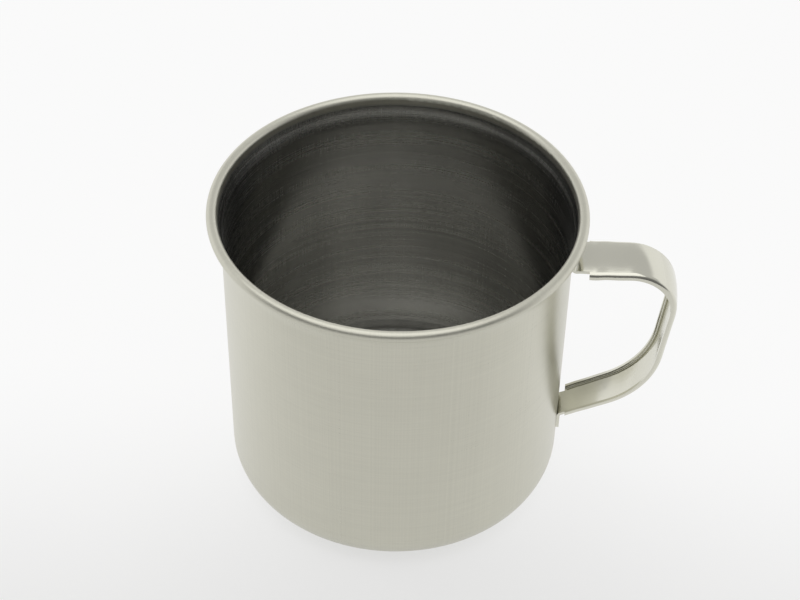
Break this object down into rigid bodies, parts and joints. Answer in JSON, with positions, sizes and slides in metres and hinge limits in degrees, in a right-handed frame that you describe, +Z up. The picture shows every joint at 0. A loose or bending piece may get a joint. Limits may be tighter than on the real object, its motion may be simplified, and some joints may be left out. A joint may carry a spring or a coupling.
{
  "type": "deep drawn metal cup",
  "caption": "Round deep drawn steel drinking cup with a rolled rim, slightly tapered wall, rounded base and a folded strip handle welded to its side.",
  "frame": {"origin": "centre of the flat ring that the cup stands on, on the cup's axis", "axes": "+Z up along the cup's axis, out of its mouth; +X from the axis towards the handle; the XZ plane is the mirror plane"},
  "size_m": [0.105, 0.084, 0.0754],
  "materials": {
    "drawn_steel": "satin, brushed round the axis",
    "handle_steel": "polished"
  },
  "bodies": {
    "root": {"cup_body": "drawn_steel", "handle": "handle_steel"}
  },
  "joints": []
}
